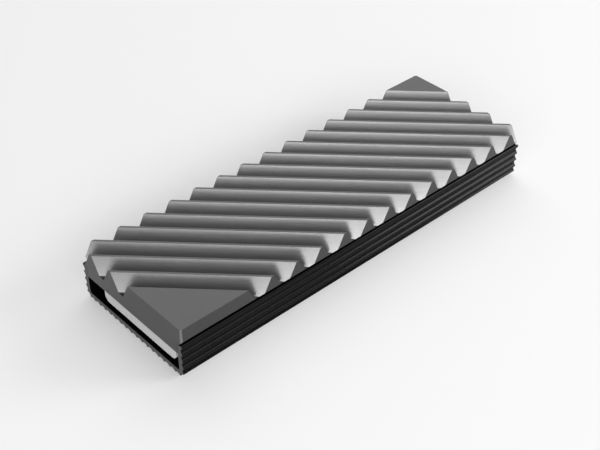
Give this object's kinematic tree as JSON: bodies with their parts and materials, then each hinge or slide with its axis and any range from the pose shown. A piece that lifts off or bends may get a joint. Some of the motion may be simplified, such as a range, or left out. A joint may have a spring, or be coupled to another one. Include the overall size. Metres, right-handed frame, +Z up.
{
  "type": "ssd heat sink",
  "caption": "Flat finned heat sink for a slim drive board, with slanting grooves, a soft pad under it and a ribbed tray round it.",
  "frame": {"origin": "middle of the underside, on the tips of the tray's lengthwise ribs", "axes": "+X along the drive board towards the end with the small flat corner, +Z up through the fins, +Y completes a right-handed frame"},
  "size_m": [0.075, 0.025, 0.0098],
  "materials": {
    "grey_anodised": "fine blasted, dark grey anodised",
    "black_anodised": "satin black anodised",
    "grey_silicone": "matt, slightly mottled light grey"
  },
  "bodies": {
    "root": {"finned_heat_sink": "grey_anodised", "ribbed_tray": "black_anodised", "thermal_pad": "grey_silicone"}
  },
  "joints": []
}
